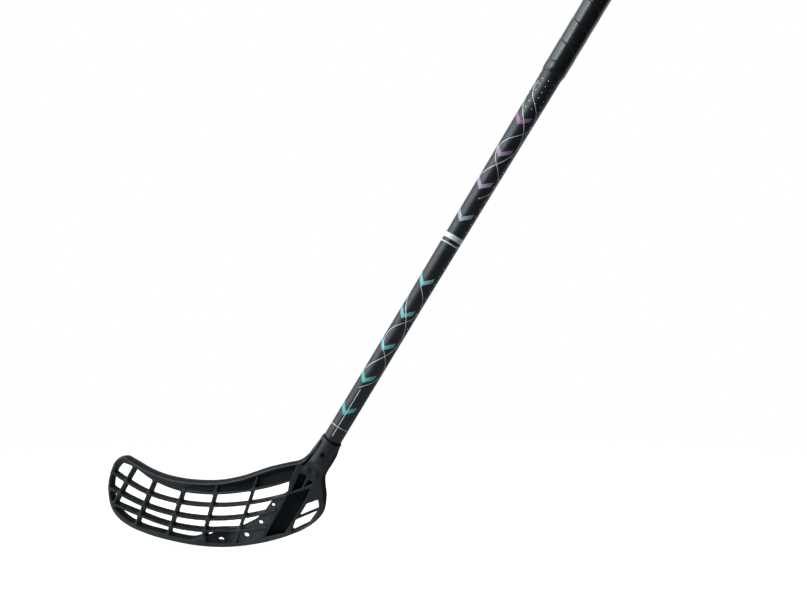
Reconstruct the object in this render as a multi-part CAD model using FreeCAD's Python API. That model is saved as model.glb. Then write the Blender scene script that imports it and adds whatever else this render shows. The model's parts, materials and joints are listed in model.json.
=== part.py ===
import FreeCAD, Part
import math
import os

# Floorball stick in its playing pose: the sole of the blade on the floor, the toe towards -X,
# the shaft leaning over towards +X, and the blade's ribbed face towards -Y.
# Driving dimensions, in millimetres and degrees.

# Shaft: a straight hollow tube, thinner in the socket, parallel above it, then tapering up to the grip.
shaft_lean = 31.1
shaft_length = 870.0
shaft_wall = 1.6
spigot_diameter = 20.8
shaft_lower_diameter = 21.6
shaft_upper_diameter = 25.6
shaft_parallel_length = 198.0

# Blade: a ribbed plate that curves back towards its toe and its sole.
blade_length = 258.5
blade_height = 106.2
blade_depth = 14.0
blade_plan_radius = 780.0
blade_section_radius = 300.0
crown_along_share = 0.905
crown_up_share = 0.78
axis_foot_share = 0.729

# Socket: the round tube on the heel that takes the shaft.
socket_mouth_height = 146.5
socket_depth = 32.2
socket_floor = 6.0
socket_wall = 1.9
socket_end_round = 8.0
socket_clearance = 0.15

# Lattice and webs of the blade.
rib_width = 3.0
rung_width = 2.8
rung_recess = 0.5
window_corner = 1.6
top_band_recess = 5.0
lower_web_recess = 3.0
pocket_recess = 9.0
recess_margin = 0.4

# Screw that holds the shaft in the socket.
screw_setback = 18.5
screw_length = 9.5
screw_diameter = 2.8
screw_head_diameter = 5.4
screw_head_height = 1.3
screw_tip_length = 2.0
screw_sink = 0.3
screw_clearance = 0.2
cross_span = 3.0
cross_slot = 0.7
cross_depth = 0.9

# Grip: a padded tape wound round the upper shaft. A band below presses its end in and lies a little lower
# than the tape, and the end cap closes it above.
grip_length = 343.0
grip_thickness = 1.4
grip_pitch = 28.0
grip_seam = 0.6
seam_drop = 5.0
tape_fit = 0.05
band_thickness = 0.35
band_skirt = 5.0
band_cover = 9.0
band_sink = 0.2

# End cap: a domed head, a little narrower than the grip, over a hollow plug.
cap_inset = 0.25
cap_head_height = 10.0
cap_dome_height = 4.0
cap_plug_length = 28.0
cap_plug_wall = 2.0
cap_plug_chamfer = 1.2
cap_clearance = 0.3
cap_seat_gap = 0.2

# One overrun for every cut that passes a surface, and the rise under which an arc is a straight line.
overrun = 5.0
straight_share = 1e-4

# Number of points at which the gap between the turns of the tape is measured.
seam_probes = 60

# Blade outline from the heel, along the sole, round the toe and back along the top rail,
# as shares of the blade's length from the toe and of its height from the sole.
outline_shares = [
    (1.055, 1.171), (1.048, 1.065), (1.027, 0.948), (1.006, 0.860), (0.995, 0.785), (0.995, 0.715),
    (1.000, 0.570), (0.986, 0.402), (0.965, 0.335), (0.902, 0.220), (0.830, 0.143), (0.722, 0.064),
    (0.612, 0.017), (0.523, 0.000), (0.412, 0.011), (0.318, 0.044), (0.169, 0.131), (0.093, 0.206),
    (0.055, 0.267), (0.018, 0.375), (0.000, 0.555), (0.000, 0.680), (0.010, 0.797), (0.036, 0.930),
    (0.075, 0.990), (0.112, 0.953), (0.190, 0.853), (0.250, 0.798), (0.338, 0.752), (0.433, 0.735),
    (0.531, 0.746), (0.605, 0.783), (0.752, 0.901), (0.825, 0.944), (0.890, 0.985), (0.920, 1.045),
    (0.942, 1.116), (0.970, 1.196), (1.002, 1.248),
]

# Edge of the open lattice: under the top rail, down the heel web, along the sole and up the toe.
lattice_top_shares = [
    (0.060, 0.914), (0.112, 0.878), (0.205, 0.738), (0.326, 0.625), (0.490, 0.588), (0.640, 0.622),
    (0.834, 0.737),
]
lattice_web_shares = [
    (0.834, 0.737), (0.827, 0.626), (0.765, 0.515), (0.726, 0.413), (0.690, 0.323), (0.629, 0.246),
    (0.596, 0.212), (0.497, 0.185),
]
lattice_sole_shares = [
    (0.497, 0.185), (0.482, 0.142), (0.446, 0.106), (0.390, 0.076), (0.321, 0.088), (0.242, 0.134),
    (0.162, 0.179), (0.080, 0.280), (0.030, 0.393),
]
lattice_toe_shares = [(0.030, 0.393), (0.012, 0.532), (0.011, 0.678), (0.022, 0.791), (0.060, 0.914)]

# Slanted ribs, from the top rail to the sole, and the curved rungs behind them, from toe to heel.
rib_shares = [
    ((0.123, 0.868), (0.025, 0.460)),
    ((0.221, 0.741), (0.125, 0.214)),
    ((0.355, 0.640), (0.276, 0.118)),
    ((0.509, 0.672), (0.431, 0.046)),
    ((0.691, 0.772), (0.585, 0.052)),
]
rung_shares = [
    [(-0.010, 0.850), (0.094, 0.688), (0.179, 0.586), (0.330, 0.489), (0.489, 0.461), (0.650, 0.493),
     (0.860, 0.620)],
    [(-0.010, 0.645), (0.047, 0.570), (0.178, 0.430), (0.320, 0.343), (0.488, 0.309), (0.640, 0.345),
     (0.770, 0.428)],
    [(-0.010, 0.475), (0.025, 0.440), (0.144, 0.333), (0.247, 0.247), (0.385, 0.186), (0.500, 0.166),
     (0.600, 0.190), (0.720, 0.310)],
]

# Recessed band under the top rail, recessed web over the sole, blind pockets and open windows of the heel.
top_band_shares = [
    (0.364, 0.686), (0.456, 0.684), (0.534, 0.696), (0.624, 0.738), (0.701, 0.806), (0.777, 0.872),
    (0.866, 0.914), (0.838, 0.757), (0.640, 0.645), (0.490, 0.611), (0.364, 0.632),
]
lower_web_shares = [
    (0.456, 0.138), (0.594, 0.184), (0.690, 0.296), (0.735, 0.398), (0.793, 0.530), (0.818, 0.607),
    (0.778, 0.408), (0.718, 0.155), (0.667, 0.098), (0.602, 0.067), (0.524, 0.052), (0.455, 0.058),
]
pocket_shares = [
    [(0.832, 0.597), (0.928, 0.661), (0.900, 0.519), (0.810, 0.166), (0.723, 0.125)],
    [(0.884, 0.827), (0.912, 0.803), (0.889, 0.669), (0.846, 0.635)],
    [(0.922, 0.756), (0.940, 0.723), (0.904, 0.685)],
]
heel_window_shares = [
    [(0.912, 0.484), (0.968, 0.524), (0.969, 0.455), (0.901, 0.379), (0.893, 0.399)],
    [(0.879, 0.325), (0.950, 0.399), (0.955, 0.366), (0.907, 0.265), (0.858, 0.208), (0.853, 0.234)],
]

# Round holes through the heel web: place, and diameter in millimetres.
web_hole_shares = [(0.526, 0.082), (0.643, 0.130), (0.711, 0.273), (0.765, 0.463)]
web_hole_diameters = [6.2, 5.3, 4.1, 3.0]

# How far the curved layers of the blade run past its height and length.
layer_height_share = 1.2
layer_length_share = 1.1

# Sizes that follow from the driving dimensions.
spigot_radius = spigot_diameter / 2
shaft_lower_radius = shaft_lower_diameter / 2
shaft_upper_radius = shaft_upper_diameter / 2
socket_bore_radius = spigot_radius + socket_clearance
socket_radius = socket_bore_radius + socket_wall
shaft_foot = socket_mouth_height - socket_depth + socket_clearance
shaft_top = shaft_foot + shaft_length
parallel_top = socket_mouth_height + shaft_parallel_length
grip_foot = shaft_top - grip_length
band_foot = grip_foot - band_skirt
grip_inner_radius = shaft_upper_radius + tape_fit
grip_radius = grip_inner_radius + grip_thickness
band_radius = grip_radius - band_sink
pressed_radius = band_radius - band_thickness - tape_fit
pressed_top = grip_foot + band_cover + tape_fit
cap_radius = grip_radius - cap_inset
screw_height = socket_mouth_height - screw_setback
blade_front = -blade_depth / 2


def point(x, y, z):
    return FreeCAD.Vector(x, y, z)


UP = point(0, 0, 1)
BACK = point(0, 1, 0)


def on_blade(shares):
    """A point of the blade's flat layout, in the plane of the shaft's axis."""
    along, up = shares
    return point((along - axis_foot_share) * blade_length, 0, up * blade_height)


def on_axis(height):
    """A point of the shaft's axis, at a height measured along the axis from the floor."""
    lean = math.radians(shaft_lean)
    return point(height * math.sin(lean), 0, height * math.cos(lean))


def tangent_arcs(first, first_run, last, last_run):
    """Two arcs that join two points and leave and meet them along the given directions."""
    gap = last - first
    lead = gap.dot(first_run + last_run)
    spread = 2 * (1 - first_run.dot(last_run))
    reach = gap.dot(gap) / (lead + math.sqrt(lead ** 2 + spread * gap.dot(gap)))
    middle = (first + last + (first_run - last_run) * reach) * 0.5
    arcs = []
    for start, corner, end in (
        (first, first + first_run * reach, middle),
        (middle, last - last_run * reach, last),
    ):
        chord = (start + end) * 0.5
        rise = (corner - chord).Length
        half = (end - start).Length / 2
        if rise < straight_share * half:
            arcs.append(Part.makeLine(start, end))
        else:
            crown = chord + (corner - chord) * (half * (reach - half) / rise ** 2)
            arcs.append(Part.Arc(start, crown, end).toShape())
    return arcs


def smooth_edges(points):
    """A smooth chain of arcs through the points, each met along the circle through its neighbours."""
    runs = []
    for before, here, after in zip(points, points[1:], points[2:]):
        back = here - before
        ahead = after - here
        runs.append((back / back.dot(back) + ahead / ahead.dot(ahead)).normalize())
    ends = []
    for tip, next_point, run in ((points[0], points[1], runs[0]), (points[-1], points[-2], runs[-1])):
        chord = (next_point - tip).normalize()
        ends.append(chord * (2 * chord.dot(run)) - run)
    runs = ends[:1] + runs + ends[1:]
    edges = []
    for step in range(len(points) - 1):
        edges += tangent_arcs(points[step], runs[step], points[step + 1], runs[step + 1])
    return edges


def flat_face(points):
    """A flat face with straight sides."""
    return Part.Face(Part.makePolygon(points + points[:1]))


def along_shaft(shape):
    """Lean a shape that was made upright over to the shaft's axis."""
    shape.rotate(point(0, 0, 0), BACK, shaft_lean)
    return shape


def turned(profile):
    """A solid of revolution about the upright axis, from a closed profile of radius and height."""
    face = flat_face([point(radius, 0, height) for radius, height in profile])
    return face.revolve(point(0, 0, 0), UP, 360)


def through_prism(face):
    """A prism that passes right through the blade."""
    face = face.copy()
    face.translate(BACK * -blade_length)
    return face.extrude(BACK * (2 * blade_length))


def curved_layer(near, far):
    """The layer of the curved blade between two depths behind its front face."""
    crown = on_blade((crown_along_share, crown_up_share))
    centre = point(crown.x, blade_front + blade_section_radius, crown.z)
    half_height = math.asin(min(1, layer_height_share * blade_height / blade_section_radius))
    half_length = math.degrees(math.asin(min(1, layer_length_share * blade_length / blade_plan_radius)))

    def on_arc(depth, turn):
        radius = blade_section_radius - depth
        return centre + point(0, -radius * math.cos(turn), radius * math.sin(turn))

    arcs = []
    for depth in (near, far):
        low, mid, high = [on_arc(depth, turn) for turn in (-half_height, 0, half_height)]
        arcs.append(Part.Arc(low, mid, high).toShape())
    sides = []
    for turn in (-half_height, half_height):
        sides.append(Part.makeLine(on_arc(near, turn), on_arc(far, turn)))
    profile = Part.Face(Part.Wire(Part.__sortEdges__(arcs + sides)))
    axis_foot = point(crown.x, blade_front + blade_plan_radius, 0)
    profile.rotate(axis_foot, UP, -half_length)
    return profile.revolve(axis_foot, UP, 2 * half_length)


def rounded(face):
    """A window with its corners rounded."""
    inset = face.makeOffset2D(-window_corner)
    return inset.makeOffset2D(window_corner)


def rib_face(shares, margin):
    """A straight rib with a margin at its sides, run on past the lattice at both ends."""
    top, foot = [on_blade(share) for share in shares]
    run = (top - foot).normalize()
    side = run.cross(BACK) * (rib_width / 2 + margin)
    top = top + run * overrun
    foot = foot - run * overrun
    return flat_face([top - side, top + side, foot + side, foot - side])


def rung_face(shares, margin):
    """A curved rung of even height with a margin above and below it."""
    half = UP * (rung_width / 2 + margin)
    points = [on_blade(share) for share in shares]
    upper = smooth_edges([place + half for place in points])
    lower = smooth_edges([place - half for place in points])
    ends = [Part.makeLine(place + half, place - half) for place in (points[0], points[-1])]
    return Part.Face(Part.Wire(Part.__sortEdges__(upper + lower + ends)))


def lattice_face():
    """The whole open area of the lattice, before its ribs and rungs."""
    edges = Part.makePolygon([on_blade(share) for share in lattice_web_shares]).Edges
    for shares in (lattice_top_shares, lattice_sole_shares, lattice_toe_shares):
        edges += smooth_edges([on_blade(share) for share in shares])
    return Part.Face(Part.Wire(Part.__sortEdges__(edges)))


def socket_body():
    """The outside of the socket, with a rounded lower end."""
    foot = socket_mouth_height - socket_depth - socket_floor
    centre_radius = socket_radius - socket_end_round
    corner = math.sqrt(0.5) * socket_end_round
    edges = [
        Part.makeLine(point(0, 0, foot), point(centre_radius, 0, foot)),
        Part.Arc(
            point(centre_radius, 0, foot),
            point(centre_radius + corner, 0, foot + socket_end_round - corner),
            point(socket_radius, 0, foot + socket_end_round),
        ).toShape(),
        Part.makeLine(
            point(socket_radius, 0, foot + socket_end_round), point(socket_radius, 0, socket_mouth_height)
        ),
        Part.makeLine(point(socket_radius, 0, socket_mouth_height), point(0, 0, socket_mouth_height)),
        Part.makeLine(point(0, 0, socket_mouth_height), point(0, 0, foot)),
    ]
    body = Part.Face(Part.Wire(edges)).revolve(point(0, 0, 0), UP, 360)
    return along_shaft(body)


def screw_blank(gap):
    """The screw's envelope with a gap all round it; with a gap it also clears the way out for the head."""
    head_face = -socket_radius + screw_sink
    shank = screw_diameter / 2 + gap
    head = screw_head_diameter / 2 + gap
    tip = screw_length + gap
    profile = [(0, 0), (head, 0), (shank, screw_head_height), (shank, tip - screw_tip_length), (0, tip)]
    if gap:
        profile = [(0, -overrun), (head, -overrun)] + profile[1:]
    blank = turned(profile)
    blank.rotate(point(0, 0, 0), point(1, 0, 0), -90)
    blank.translate(on_axis(screw_height) + BACK * head_face)
    return blank


def hole_face(shares, diameter):
    """A round hole of the heel web."""
    return Part.Face(Part.Wire(Part.makeCircle(diameter / 2, on_blade(shares), BACK)))


def build_blade():
    """The blade: curved plate, lattice, webs, pockets and socket in one moulding."""
    outline = [on_blade(share) for share in outline_shares]
    rim = Part.Wire(smooth_edges(outline) + [Part.makeLine(outline[-1], outline[0])])
    ribs = [rib_face(shares, 0) for shares in rib_shares]
    rungs = [rung_face(shares, 0) for shares in rung_shares]
    opening = lattice_face()
    windows = [rounded(face) for face in opening.cut(ribs + rungs).Faces]
    windows += [rounded(flat_face([on_blade(share) for share in shares])) for shares in heel_window_shares]
    windows += [hole_face(share, size) for share, size in zip(web_hole_shares, web_hole_diameters)]
    layout = Part.Face(rim).cut(windows)
    plate = through_prism(layout).common(curved_layer(0, blade_depth))

    wide_ribs = [rib_face(shares, recess_margin) for shares in rib_shares]
    wide_rungs = [rung_face(shares, recess_margin) for shares in rung_shares]
    band = flat_face([on_blade(share) for share in top_band_shares]).cut(wide_ribs)
    web = flat_face([on_blade(share) for share in lower_web_shares]).cut(wide_ribs + wide_rungs[:2])
    rung_area = wide_rungs[0].multiFuse(wide_rungs[1:])
    rung_band = opening.makeOffset2D(-recess_margin).common(rung_area).cut(wide_ribs)
    for faces, depth in ((rung_band, rung_recess), (band, top_band_recess), (web, lower_web_recess)):
        for near, far in ((-overrun, depth), (blade_depth - depth, blade_depth + overrun)):
            plate = plate.cut(through_prism(faces).common(curved_layer(near, far)))
    for shares in pocket_shares:
        pocket = through_prism(flat_face([on_blade(share) for share in shares]))
        plate = plate.cut(pocket.common(curved_layer(-overrun, pocket_recess)))

    bore_foot = UP * (socket_mouth_height - socket_depth)
    bore = Part.makeCylinder(socket_bore_radius, socket_depth + overrun, bore_foot)
    above_mouth = Part.makeCylinder(blade_height, blade_height, UP * socket_mouth_height)
    blade = plate.fuse(socket_body())
    return blade.cut([along_shaft(bore), along_shaft(above_mouth), screw_blank(screw_clearance)])


def build_shaft():
    """The hollow shaft with the hole that the screw goes through."""
    outer = [
        (spigot_radius, shaft_foot),
        (spigot_radius, socket_mouth_height),
        (shaft_lower_radius, socket_mouth_height),
        (shaft_lower_radius, parallel_top),
        (shaft_upper_radius, band_foot),
        (shaft_upper_radius, shaft_top),
    ]
    inner = [
        (shaft_upper_radius - shaft_wall, shaft_top),
        (shaft_upper_radius - shaft_wall, band_foot),
        (spigot_radius - shaft_wall, parallel_top),
        (spigot_radius - shaft_wall, shaft_foot),
    ]
    return along_shaft(turned(outer + inner)).cut(screw_blank(screw_clearance))


def build_screw():
    """The countersunk screw with a cross in its head."""
    screw = screw_blank(0)
    centre = on_axis(screw_height) + BACK * (screw_sink - socket_radius)
    for width, height in ((cross_span, cross_slot), (cross_slot, cross_span)):
        corner = centre - point(width / 2, cross_depth, height / 2)
        screw = screw.cut(Part.makeBox(width, 2 * cross_depth, height, corner))
    return screw


def seam_point(radius, turn):
    """A point of the seam's falling helix, and its direction, counted in turns from just below the grip's foot."""
    angle = -2 * math.pi * turn
    climb = grip_pitch / (2 * math.pi)
    place = point(radius * math.cos(angle), radius * math.sin(angle), grip_foot - seam_drop + grip_pitch * turn)
    run = point(radius * math.sin(angle), -radius * math.cos(angle), climb).normalize()
    return place, run


def seam_cutter():
    """The gap between the turns of the tape, as a thin strip wound through the whole sleeve."""
    quarters = 4
    radius = (grip_inner_radius + grip_radius) / 2
    first = -quarters
    last = quarters * (math.ceil(grip_length / grip_pitch) + 1)
    edges = []
    for step in range(first, last):
        start, start_run = seam_point(radius, step / quarters)
        end, end_run = seam_point(radius, (step + 1) / quarters)
        edges += tangent_arcs(start, start_run, end, end_run)
    place, run = seam_point(radius, first / quarters)
    outward = point(place.x, place.y, 0).normalize()
    side = outward.cross(run) * (grip_seam / 2)
    deep = outward * grip_thickness
    corners = [place - deep - side, place + deep - side, place + deep + side, place - deep + side]
    section = Part.makePolygon(corners + corners[:1])
    strip = Part.BRepOffsetAPI.MakePipeShell(Part.Wire(edges))
    strip.setBiNormalMode(UP)
    strip.add(section)
    strip.build()
    strip.makeSolid()
    return strip.shape()


def build_grip():
    """The grip tape: a sleeve, pressed in under the band, parted by its seam into one wound strip."""
    sleeve = turned([
        (grip_inner_radius, grip_foot),
        (pressed_radius, grip_foot),
        (pressed_radius, pressed_top),
        (grip_radius, pressed_top),
        (grip_radius, shaft_top),
        (grip_inner_radius, shaft_top),
    ])
    strip = sleeve.cut(seam_cutter())
    middle_radius = (grip_inner_radius + grip_radius) / 2
    turns = grip_length / grip_pitch
    gaps = []
    for probe in range(1, seam_probes):
        place, run = seam_point(middle_radius, turns * probe / seam_probes)
        gaps.append(2 * Part.Vertex(place).distToShape(strip)[0])
    print("least gap of the tape to itself", round(min(gaps), 3), "over", round(turns, 2), "turns")
    return along_shaft(strip)


def build_band():
    """The finishing band: a cone on the shaft that widens over the end of the grip tape."""
    on_shaft = shaft_upper_radius + tape_fit
    on_grip = band_radius - band_thickness
    profile = [
        (on_shaft, band_foot),
        (on_shaft, grip_foot - tape_fit),
        (on_grip, grip_foot - tape_fit),
        (on_grip, grip_foot + band_cover),
        (band_radius, grip_foot + band_cover),
        (band_radius, grip_foot),
        (on_shaft + band_thickness, band_foot),
    ]
    return along_shaft(turned(profile))


def build_cap():
    """The end cap: domed head on the end of the grip, hollow plug in the shaft's bore."""
    seat = shaft_top + cap_seat_gap
    side_top = seat + cap_head_height - cap_dome_height
    crown = seat + cap_head_height
    plug = shaft_upper_radius - shaft_wall - cap_clearance
    plug_foot = seat - cap_plug_length
    hollow = plug - cap_plug_wall
    dome_radius = (cap_radius ** 2 + cap_dome_height ** 2) / (2 * cap_dome_height)
    half_turn = math.asin(cap_radius / dome_radius) / 2
    dome_mid = point(
        dome_radius * math.sin(half_turn), 0, crown - dome_radius + dome_radius * math.cos(half_turn)
    )
    corners = [
        (0, crown), (0, seat), (hollow, seat), (hollow, plug_foot), (plug - cap_plug_chamfer, plug_foot),
        (plug, plug_foot + cap_plug_chamfer), (plug, seat), (cap_radius, seat), (cap_radius, side_top),
    ]
    places = [point(radius, 0, height) for radius, height in corners]
    sides = Part.makePolygon(places).Edges
    dome = Part.Arc(places[-1], dome_mid, places[0]).toShape()
    cap = Part.Face(Part.Wire(sides + [dome])).revolve(point(0, 0, 0), UP, 360)
    return along_shaft(cap)


pieces = {
    "blade": build_blade(),
    "shaft": build_shaft(),
    "blade_screw": build_screw(),
    "grip_tape": build_grip(),
    "finishing_tape": build_band(),
    "end_cap": build_cap(),
}

# The origin lies on the floor, under the middle of the whole stick.
whole = Part.makeCompound(list(pieces.values())).optimalBoundingBox(False)
shift = point(-whole.Center.x, -whole.Center.y, -whole.ZMin)

os.makedirs("parts", exist_ok=True)
for name, shape in pieces.items():
    shape.translate(shift)
    solids = shape.Solids
    print(name, "valid", shape.isValid(), "solids", len(solids), "volume", round(shape.Volume, 1))
    shape.exportStep("parts/" + name + ".step")
print("box", [round(value, 2) for value in (whole.XLength, whole.YLength, whole.ZLength)])
print("shift", [round(value, 3) for value in shift])
for name, height in (
    ("bare shaft middle", socket_mouth_height + shaft_parallel_length / 2),
    ("grip middle", (pressed_top + shaft_top) / 2),
    ("shaft top", shaft_top),
    ("screw", screw_height),
):
    print(name, [round(value, 3) for value in on_axis(height) + shift])
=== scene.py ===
import json
from functools import reduce

import bpy
import numpy as np
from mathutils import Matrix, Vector


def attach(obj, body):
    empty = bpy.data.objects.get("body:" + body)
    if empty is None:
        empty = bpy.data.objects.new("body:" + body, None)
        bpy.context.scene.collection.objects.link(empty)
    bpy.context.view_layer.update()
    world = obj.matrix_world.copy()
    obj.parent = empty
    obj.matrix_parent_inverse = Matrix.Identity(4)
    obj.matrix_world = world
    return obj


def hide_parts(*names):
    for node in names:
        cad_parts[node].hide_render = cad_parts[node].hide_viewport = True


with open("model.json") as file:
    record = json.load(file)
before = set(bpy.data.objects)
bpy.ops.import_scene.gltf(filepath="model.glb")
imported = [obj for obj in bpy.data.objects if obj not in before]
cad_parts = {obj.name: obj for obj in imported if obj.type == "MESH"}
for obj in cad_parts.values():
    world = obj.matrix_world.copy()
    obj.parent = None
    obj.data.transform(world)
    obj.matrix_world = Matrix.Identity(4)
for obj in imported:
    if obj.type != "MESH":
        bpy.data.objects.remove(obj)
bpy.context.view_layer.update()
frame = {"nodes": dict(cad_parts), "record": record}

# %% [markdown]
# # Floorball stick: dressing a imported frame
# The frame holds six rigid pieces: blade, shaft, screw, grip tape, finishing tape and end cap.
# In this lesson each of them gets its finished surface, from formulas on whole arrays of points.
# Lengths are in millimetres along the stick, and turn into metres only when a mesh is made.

MM = 0.001
TURN = 2 * np.pi
mounts = {mount["name"]: mount for mount in frame["record"]["mounts"]}
clip = mounts["shaft_clip"]
clip_height = 245.5
axis = np.array(clip["axis"]) / np.linalg.norm(clip["axis"])
back = np.array([0.0, 1.0, 0.0])
across = np.cross(back, axis)
foot = np.array(clip["pos_m"]) / MM - clip_height * axis
print("axis foot in mm", foot.round(3), "axis", axis.round(4))

# %% [markdown]
# ## Meshes from arrays
# Every new piece goes through one function: points in millimetres about the axis foot come in, and a smooth
# mesh that rides on a body of the frame comes out. Corner values, such as UV, are given per face corner.

# %% From arrays to a piece


def make_piece(name, points, faces, material, body, stands_for, uv=None, values=None, normals=None):
    """Mesh of points (mm from the axis foot) and quads, smooth, with optional UV and point values."""
    mesh = bpy.data.meshes.new(name)
    mesh.from_pydata(((points + foot) * MM).tolist(), [], [list(face) for face in faces])
    mesh.shade_smooth()
    if uv is not None:
        layer = mesh.uv_layers.new(name="wrap")
        layer.data.foreach_set("uv", uv.astype(np.float32).ravel())
    for key, numbers in (values or {}).items():
        attribute = mesh.attributes.new(key, "FLOAT", "POINT")
        attribute.data.foreach_set("value", numbers.astype(np.float32))
    if normals is not None:
        mesh.normals_split_custom_set_from_vertices(normals.tolist())
    mesh.materials.append(material)
    piece = bpy.data.objects.new(name, mesh)
    bpy.context.scene.collection.objects.link(piece)
    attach(piece, body)
    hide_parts(stands_for)
    print(name, "points", len(points), "faces", len(faces))
    return piece


def place_round(height, radius, turn):
    """Points round the shaft: up the axis by height, then out by radius at an angle from right to back."""
    sideways = np.cos(turn)[..., None] * across + np.sin(turn)[..., None] * back
    return height[..., None] * axis + radius[..., None] * sideways


def ring_quads(rings, steps, closed):
    """Quads between neighbouring rings of a wound-up grid; closed also joins the last ring to the first."""
    ring, step = np.meshgrid(np.arange(rings if closed else rings - 1), np.arange(steps), indexing="ij")
    after = (ring + 1) % rings
    beside = (step + 1) % steps
    quads = np.stack([ring * steps + step, ring * steps + beside, after * steps + beside, after * steps + step], -1)
    return quads.reshape(-1, 4)


# %% [markdown]
# ## The blade as a field
# The blade is one moulding with soft inner corners, so it is described by a signed distance: below zero inside
# the plastic, above zero outside. Flat shapes are drawn in the blade's layout, given a depth, and melted together.

# %% Drawing tools for the layout
blade_length = 258.5
blade_height = 106.2
axis_foot_share = 0.729
measured_at_once = 2000000


def layout(shares):
    """Shares of the blade's length and height, turned into mm right of and above the axis foot."""
    return (np.array(shares) - [axis_foot_share, 0.0]) * [blade_length, blade_height]


def smooth_line(points, pieces=10):
    """A curve through points: cubic pieces whose slopes are the chord slopes, weighted by chord length."""
    points = np.asarray(points, float)
    chord = np.linalg.norm(np.diff(points, axis=0), axis=1)[:, None]
    slope = np.diff(points, axis=0) / chord
    inner = (slope[:-1] * chord[1:] + slope[1:] * chord[:-1]) / (chord[:-1] + chord[1:])
    slopes = np.concatenate([2 * slope[:1] - inner[:1], inner, 2 * slope[-1:] - inner[-1:]])
    t = np.linspace(0, 1, pieces, endpoint=False)[None, :, None]
    p0, p1 = points[:-1, None], points[1:, None]
    m0, m1 = slopes[:-1, None] * chord[:, None], slopes[1:, None] * chord[:, None]
    curve = p0 + t * m0 + t**2 * (3 * (p1 - p0) - 2 * m0 - m1) + t**3 * (2 * (p0 - p1) + m0 + m1)
    return np.concatenate([curve.reshape(-1, 2), points[-1:]])


def line_distance(spots, line):
    """Distance of each spot to a chain of straight runs: the least over the runs, each met square or at an end."""
    start, run = line[:-1], np.diff(line, axis=0)
    least = []
    for part in np.array_split(spots, 1 + len(spots) * len(run) // measured_at_once):
        reach = part[:, None] - start
        share = np.clip((reach * run).sum(-1) / (run * run).sum(-1), 0, 1)
        least.append(np.sqrt(((reach - share[..., None] * run) ** 2).sum(-1).min(1)))
    return np.concatenate(least)


def inside_loop(spots, loop):
    """True where a ray to the right crosses the closed loop an odd number of times."""
    x0, z0 = loop.T
    x1, z1 = np.roll(loop, -1, axis=0).T
    odd = []
    for part in np.array_split(spots, 1 + len(spots) * len(loop) // measured_at_once):
        x, z = part[:, :1], part[:, 1:]
        spans = (z0 > z) != (z1 > z)
        rise = np.where(z1 == z0, 1.0, z1 - z0)
        odd.append((spans & (x < x0 + (z - z0) * (x1 - x0) / rise)).sum(1) % 2 == 1)
    return np.concatenate(odd)


def loop_distance(spots, loop):
    """Signed distance to a closed loop: the distance to its line, below zero inside."""
    away = line_distance(spots, np.concatenate([loop, loop[:1]]))
    return np.where(inside_loop(spots, loop), -away, away)


def inset(loop, by):
    """A closed loop moved inwards: each corner goes along the inward normals of its two sides."""
    ahead = np.roll(loop, -1, axis=0) - loop
    way = np.sign((loop[:, 0] * np.roll(loop[:, 1], -1) - np.roll(loop[:, 0], -1) * loop[:, 1]).sum())
    after = way * np.stack([-ahead[:, 1], ahead[:, 0]], -1) / np.linalg.norm(ahead, axis=1, keepdims=True)
    before = np.roll(after, 1, axis=0)
    return loop + by * (before + after) / (1 + (before * after).sum(1, keepdims=True))


def melt(a, b, soft):
    """Union of two fields with a fillet: the lesser of the two, lowered where they differ by less than soft."""
    near = np.clip(1 - np.abs(a - b) / soft, 0, None)
    return np.minimum(a, b) - near**2 * soft / 4


def slab(flat, depth, near, far, edge):
    """A flat shape given a depth from near to far, with its edges rounded by the radius edge."""
    side = flat + edge
    face = np.maximum(near - depth, depth - far) + edge
    return np.minimum(np.maximum(side, face), 0) + np.hypot(np.clip(side, 0, None), np.clip(face, 0, None)) - edge


# %% [markdown]
# The layout repeats the drawing of the frame: the outline, the open lattice with its ribs and rungs, the sunk band
# under the top rail, the sunk web over the sole, the blind pockets, the heel's window and four round holes. The top
# rail is the last stretch of the outline, from the toe to the socket.

# %% The blade's drawing
outline_shares = [
    (1.058, 1.171), (1.053, 1.065), (1.031, 0.948), (1.008, 0.860), (0.995, 0.785), (0.995, 0.715),
    (1.000, 0.570), (0.986, 0.402), (0.965, 0.335), (0.902, 0.220), (0.830, 0.143), (0.722, 0.064),
    (0.612, 0.017), (0.523, 0.000), (0.412, 0.011), (0.318, 0.044), (0.169, 0.131), (0.093, 0.206),
    (0.055, 0.267), (0.018, 0.375), (0.000, 0.555), (0.000, 0.680), (0.010, 0.797), (0.036, 0.930),
    (0.075, 0.990), (0.112, 0.953), (0.190, 0.853), (0.250, 0.798), (0.338, 0.752), (0.433, 0.735),
    (0.531, 0.746), (0.605, 0.783), (0.752, 0.901), (0.825, 0.944), (0.890, 0.985), (0.920, 1.045),
    (0.942, 1.116), (0.970, 1.196), (1.002, 1.248)]
outline = smooth_line(layout(outline_shares))
top_rail_points = 16
top_rail = smooth_line(layout(outline_shares[-top_rail_points:]))
heel_edge = smooth_line(layout([
    (1.006, 0.860), (0.995, 0.785), (0.995, 0.715), (1.000, 0.570), (0.986, 0.402), (0.965, 0.335)]))
opening = np.concatenate([
    smooth_line(layout([
        (0.060, 0.914), (0.112, 0.878), (0.205, 0.738), (0.326, 0.625), (0.490, 0.588), (0.640, 0.622),
        (0.834, 0.737)])),
    layout([(0.827, 0.626), (0.752, 0.517), (0.721, 0.407), (0.684, 0.318), (0.626, 0.244), (0.596, 0.212)]),
    smooth_line(layout([
        (0.497, 0.185), (0.486, 0.152), (0.476, 0.134), (0.446, 0.118), (0.390, 0.076), (0.321, 0.094), (0.242, 0.142),
        (0.162, 0.188), (0.080, 0.280), (0.030, 0.393)])),
    smooth_line(layout([(0.030, 0.393), (0.012, 0.532), (0.011, 0.678), (0.022, 0.791), (0.060, 0.914)]))[1:-1]])
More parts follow.
